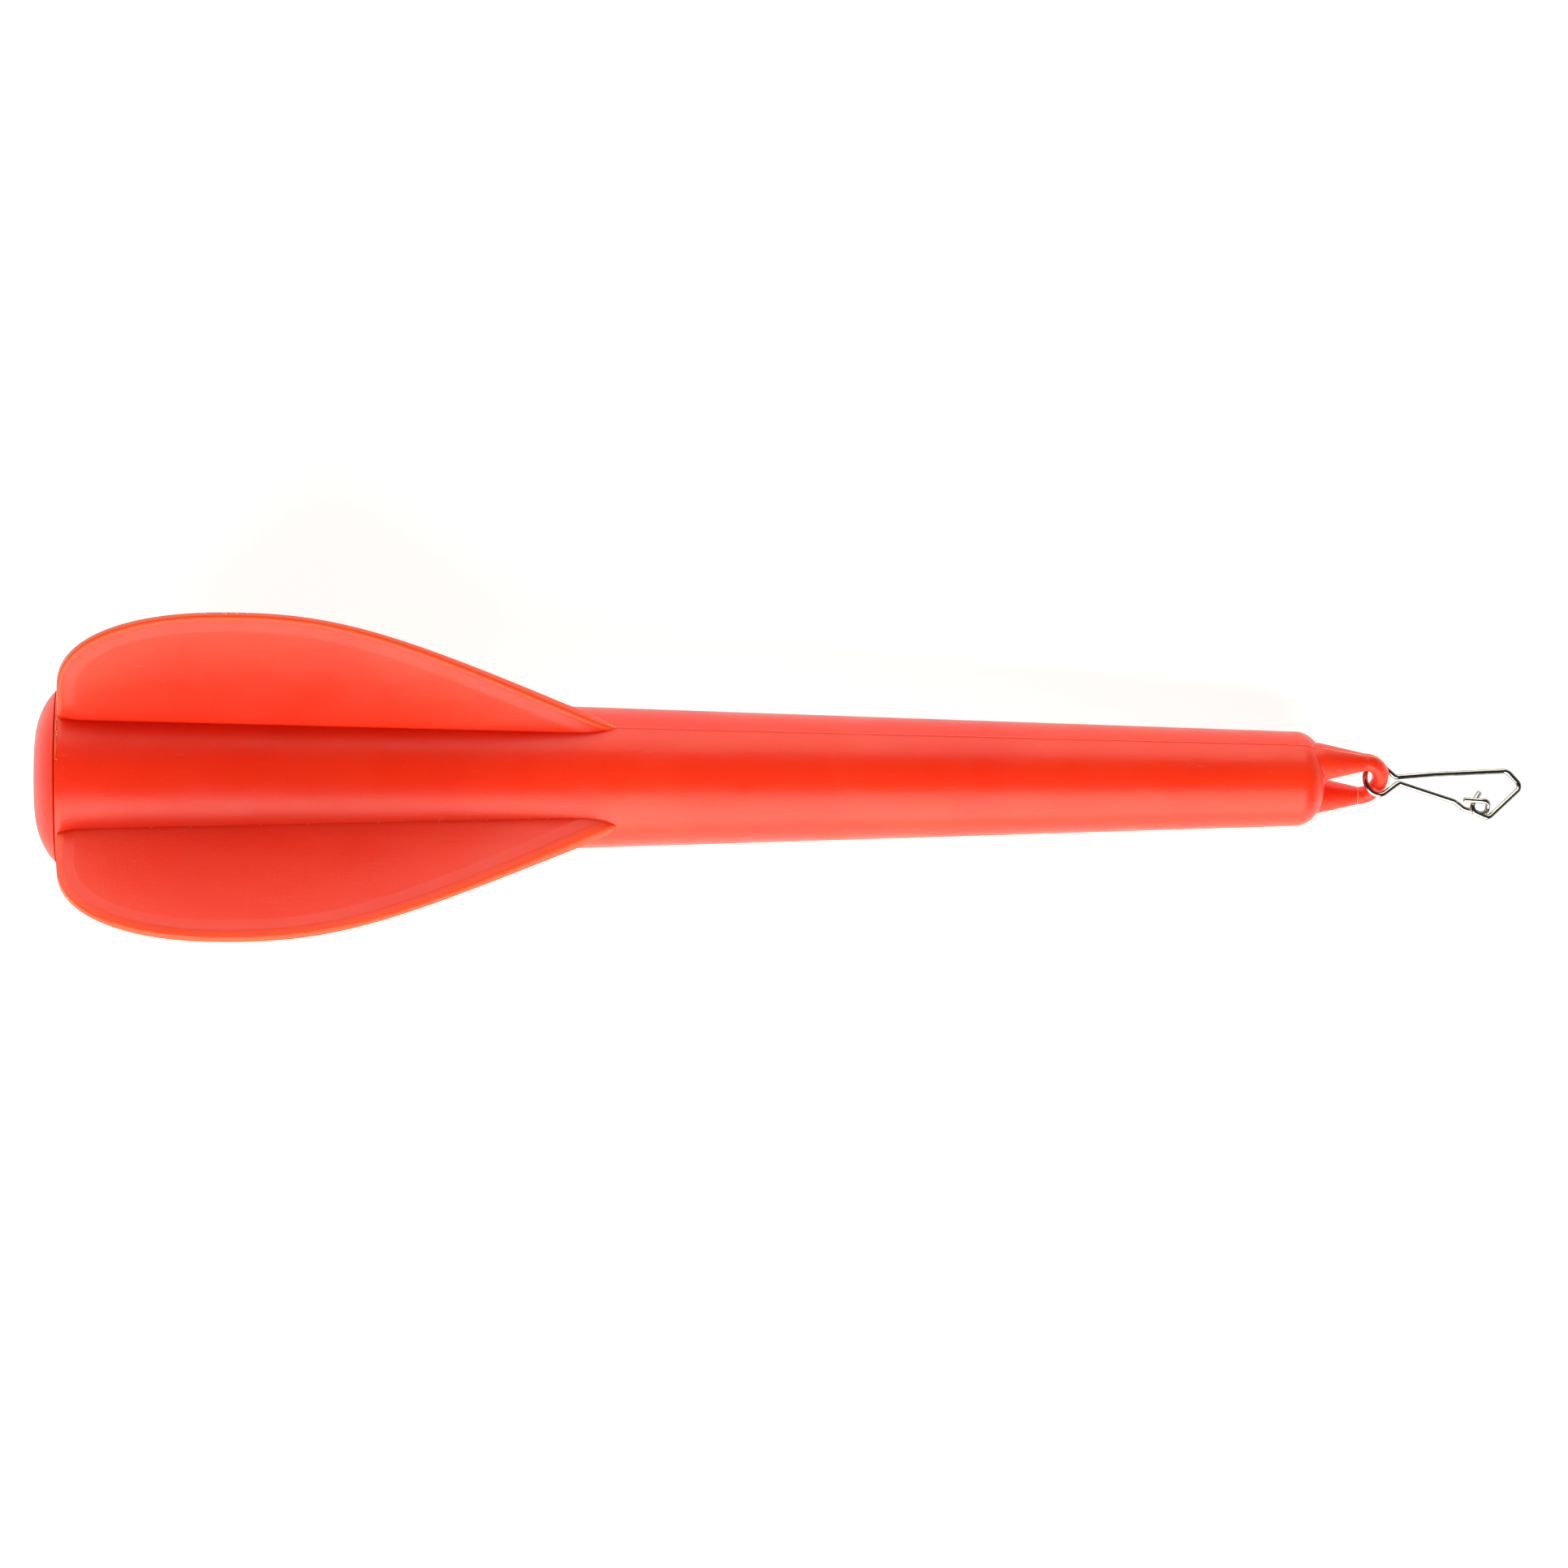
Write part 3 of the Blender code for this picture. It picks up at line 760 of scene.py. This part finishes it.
def seam_strip(bm, rng, start, end):
    """A ragged strip of flash on the body's mouth, between two angles."""
    steps = int(abs(end - start) / FLASH_STEP)
    rings = []
    for i in range(steps + 1):
        degrees = start + (end - start) * i / steps
        fullness = min(1.0, 0.25 + 4.0 * i * (steps - i) / steps**2)
        width = FLASH_WIDTH * rng.uniform(0.75, 1.25) * fullness
        ring = [on_body(BODY_START, degrees, -FLASH_SUNK), on_body(BODY_START, degrees, FLASH_RISE)]
        ring.append(on_body(BODY_START + width * FLASH_TOP, degrees, FLASH_RISE))
        ring.append(on_body(BODY_START + width, degrees, -FLASH_SUNK))
        rings.append([bm.verts.new(point) for point in ring])
    skin_rings(bm, rings)
    bm.faces.new(rings[0])
    bm.faces.new(rings[-1])


def seam_flash(look):
    """Strips along the body's mouth, left where the mould closed badly."""
    rng = random.Random(FLAKE_SEED)
    bm = bmesh.new()
    for start, end in FLASH_STRIPS:
        seam_strip(bm, rng, start, end)
    make_piece("seam_flash", bm, look, "float", "moulding")


def trim_flakes(look):
    """Pale slivers: on a fin's edge and tip, at the next fin's corner and root, on the seam."""
    rng = random.Random(FLAKE_SEED)
    bm = bmesh.new()
    for x in FLAKES_ON_EDGE:
        middle = on_fin(1, x, rng.uniform(-0.35, 0.1))
        flake(bm, rng, middle, length=rng.uniform(0.5, 1.1), width=0.3)
    for x in FLAKES_AT_CORNER:
        flake(bm, rng, on_fin(2, x, 0.3), length=0.7, width=0.35)
    second_fin = FIN_FIRST_ANGLE + 360.0 / FIN_COUNT
    for x in FLAKES_AT_ROOT:
        spread = math.degrees((DRAFTED_SECTION.root_half + 0.05) / cone_radius(x))
        middle = on_body(x, second_fin - spread, 0.03)
        flake(bm, rng, middle, length=rng.uniform(0.25, 0.6), width=0.16)
    for degrees in FLAKES_ON_SEAM:
        flake(bm, rng, on_body(BODY_START + 0.5, degrees, 0.1), length=0.55, width=0.3)
    make_piece("trim_flakes", bm, look, "float", "moulding")


def bow_lines(look):
    """The parting line round the outside of the tow eye and a weld line across its far leg."""
    turn = Matrix.Rotation(math.radians(EYE_ANGLE), 3, "X")
    path = []
    for i in range(LINE_STEPS + 1):
        angle = math.pi * i / LINE_STEPS
        slim = EYE_ARC_RADIUS + (EYE_TIP_RADIUS - EYE_ARC_RADIUS) * math.sin(angle)
        x = EYE_ARC_START + (EYE_ARC_LENGTH + slim) * math.sin(angle)
        path.append(turn @ Vector((x, (EYE_LEG_OFFSET + slim) * math.cos(angle), 0.0)))
    foot = SHOULDER_START + SHOULDER_LENGTH * LINE_FOOT
    share = (foot - EYE_LEG_TAPER_START) / (EYE_ARC_START - EYE_LEG_TAPER_START)
    wide = EYE_LEG_OFFSET + EYE_LEG_RADIUS + (EYE_ARC_RADIUS - EYE_LEG_RADIUS) * share
    path.insert(0, turn @ Vector((foot, wide, 0.0)))
    path.append(turn @ Vector((foot, -wide, 0.0)))
    bm = tube(path, [LINE_RADIUS] * len(path), LINE_SIDES)
    make_piece("bow_parting_line", bm, look, "float", "moulding")
    ring = []
    reach = EYE_ARC_RADIUS + WELD_LINE_RISE
    for i in range(LINE_STEPS + 1):
        angle = 2.0 * math.pi * WELD_LINE_SHARE * i / LINE_STEPS + WELD_LINE_START
        y = -EYE_LEG_OFFSET + reach * math.cos(angle)
        ring.append(turn @ Vector((WELD_LINE_X, y, reach * math.sin(angle))))
    bm = tube(ring, [LINE_RADIUS] * len(ring), LINE_SIDES)
    make_piece("bow_weld_line", bm, look, "float", "moulding")


# ---------------------------------------------------------------- wire snap

def snap_axes():
    """Axes of the snap in the axis frame."""
    droop = Matrix.Rotation(math.radians(SNAP_DROOP), 4, "Y")
    twist = Matrix.Rotation(math.radians(-SNAP_TWIST), 4, "X")
    return Matrix.Translation((RING_CENTRE_X, 0.0, 0.0)) @ droop @ twist


def snap_point(x, y, z=0.0):
    """A point of the snap as seen from above, spread to its true width in the twisted plane."""
    return Vector((x, y / math.cos(math.radians(SNAP_TWIST)), z))


def wire(name, path, look, rides, node):
    """A wire along a path that starts in a half ball, at the latch's pivot, and ends in a cut."""
    axes = snap_axes()
    points = [axes @ point for point in path]
    out = (points[0] - points[1]).normalized()
    stations = []
    for i in range(WIRE_BALL_STEPS):
        angle = math.pi / 2.0 * (1.0 - i / WIRE_BALL_STEPS)
        radius = max(WIRE_RADIUS * math.cos(angle), WIRE_BALL_TIP)
        stations.append((points[0] + out * (WIRE_RADIUS * math.sin(angle)), radius))
    stations += [(point, WIRE_RADIUS) for point in points[:-1]]
    last = (points[-1] - points[-2]).normalized()
    stations.append((points[-1] - last * WIRE_CUT_BEVEL, WIRE_RADIUS))
    stations.append((points[-1], WIRE_RADIUS - WIRE_CUT_BEVEL))
    bm = tube([point for point, radius in stations], [radius for point, radius in stations], WIRE_SIDES)
    make_piece(name, bm, look, rides, "wire", node)


def snap(look):
    """The snap: ring, long arm, nose and hook on one body, the latch arm and hook on another."""
    pivot = snap_point(*LATCH_PIVOT)
    path = [pivot, snap_point(*RING_FOOT)]
    start = math.radians(RING_LEAVE_LOW)
    end = math.radians(RING_LEAVE_HIGH - 360.0)
    for i in range(RING_STEPS + 1):
        angle = start + (end - start) * i / RING_STEPS
        path.append(Vector((RING_LENGTH * math.cos(angle), RING_WIDTH * math.sin(angle), 0.0)))
    corners = [path[-1]]
    corners += [snap_point(*corner) for corner in FRAME_ARM + FRAME_NOSE + FRAME_HOOK]
    path = path[:-1] + bend_path(corners, FRAME_BENDS)
    wire("snap_wire", path, look, "snap", "snap_frame")
    corners = [pivot]
    corners += [snap_point(*corner) for corner in LATCH_ARM + LATCH_HOOK]
    path = bend_path(corners, LATCH_BENDS)
    wire("latch_wire", path, look, "latch", "snap_latch")


# ---------------------------------------------------------------- floor and light

def floor():
    """Plain pale floor under the object."""
    bm = bmesh.new()
    bmesh.ops.create_grid(bm, x_segments=FLOOR_SQUARES, y_segments=FLOOR_SQUARES, size=FLOOR_HALF)
    mesh = bpy.data.meshes.new("floor")
    bm.to_mesh(mesh)
    bm.free()
    plane = bpy.data.objects.new("floor", mesh)
    plane.location.z = cad_box[0].z
    bpy.context.scene.collection.objects.link(plane)
    n = Nodes("pale_floor")
    colour = n.mix(n.noise(3.0), FLOOR_DULL, FLOOR_PALE)
    n.set(Specular_IOR_Level=0.1, Emission_Color=FLOOR_GLOW_COLOUR, Emission_Strength=FLOOR_GLOW)
    roughness = n.spread(n.noise(20.0), 0.0, 1.0, 0.75, 0.85)
    mesh.materials.append(n.finish(colour, roughness, n.bump(n.noise(400.0), 0.00002)))


def softbox(name, leans, radiance):
    """A long soft light between two leans from straight above, towards +Y where positive."""
    lean = math.radians((leans[0] + leans[1]) / 2.0)
    spread = math.radians(abs(leans[1] - leans[0])) / 2.0
    data = bpy.data.lights.new(name, "AREA")
    data.shape = "RECTANGLE"
    data.size = LIGHT_LENGTH
    data.size_y = 2.0 * LIGHT_DISTANCE * math.tan(spread)
    data.energy = radiance * data.size * data.size_y * math.pi
    data.color = LIGHT_COLOUR
    light = bpy.data.objects.new(name, data)
    light.location = (LIGHT_SHIFT, math.sin(lean) * LIGHT_DISTANCE, math.cos(lean) * LIGHT_DISTANCE)
    light.rotation_euler = (-lean, 0.0, 0.0)
    light.visible_camera = False
    bpy.context.scene.collection.objects.link(light)


def studio():
    """Bright towards the horizon and dark overhead, so the plastic shows soft bands."""
    world = bpy.data.worlds.new("studio")
    world.use_nodes = True
    tree = world.node_tree
    direction = tree.nodes.new("ShaderNodeTexCoord")
    parts = tree.nodes.new("ShaderNodeSeparateXYZ")
    fall = tree.nodes.new("ShaderNodeMapRange")
    fall.inputs["From Min"].default_value = GLOW_FALL[0]
    fall.inputs["From Max"].default_value = GLOW_FALL[1]
    fall.inputs["To Min"].default_value = HORIZON_GLOW
    fall.inputs["To Max"].default_value = OVERHEAD_GLOW
    tree.links.new(direction.outputs["Generated"], parts.inputs["Vector"])
    tree.links.new(parts.outputs["Z"], fall.inputs["Value"])
    tree.links.new(fall.outputs["Result"], tree.nodes["Background"].inputs["Strength"])
    tree.nodes["Background"].inputs["Color"].default_value = (1.0, 1.0, 1.0, 1.0)
    bpy.context.scene.world = world
    bpy.context.scene.view_settings.view_transform = "Standard"
    softbox("key_light", KEY_LEANS, KEY_RADIANCE)
    softbox("fill_light", FILL_LEANS, FILL_RADIANCE)


make_camera()
AXIS = axis_frame()
plastic = plastic_look("moulded_plastic")
body(plastic)
# the cap's darker colour is painted shade on the same plastic
cap(plastic_look("cap_plastic", warm=PLASTIC_CAP_SHADED, gloss=(0.4, 0.5), ior=1.37))
for fin_number in range(1, FIN_COUNT + 1):
    fin(fin_number, plastic)
tow_eye(plastic)
torn = flash_look()
# the seam flash is painted glow: bright orange plastic in place of its shade under the fin
seam_flash(plastic_look("flash_plastic_painted_glow", deep=PLASTIC_THIN_GLOW, warm=PLASTIC_FLASH_GLOW))
trim_flakes(torn)
bow_lines(torn)
snap(steel_look())
for node_name, node_look in (("foam_core", foam_look()), ("ballast", ballast_look())):
    node = frame["nodes"][node_name]
    node.data.materials.clear()
    node.data.materials.append(node_look)
floor()
studio()
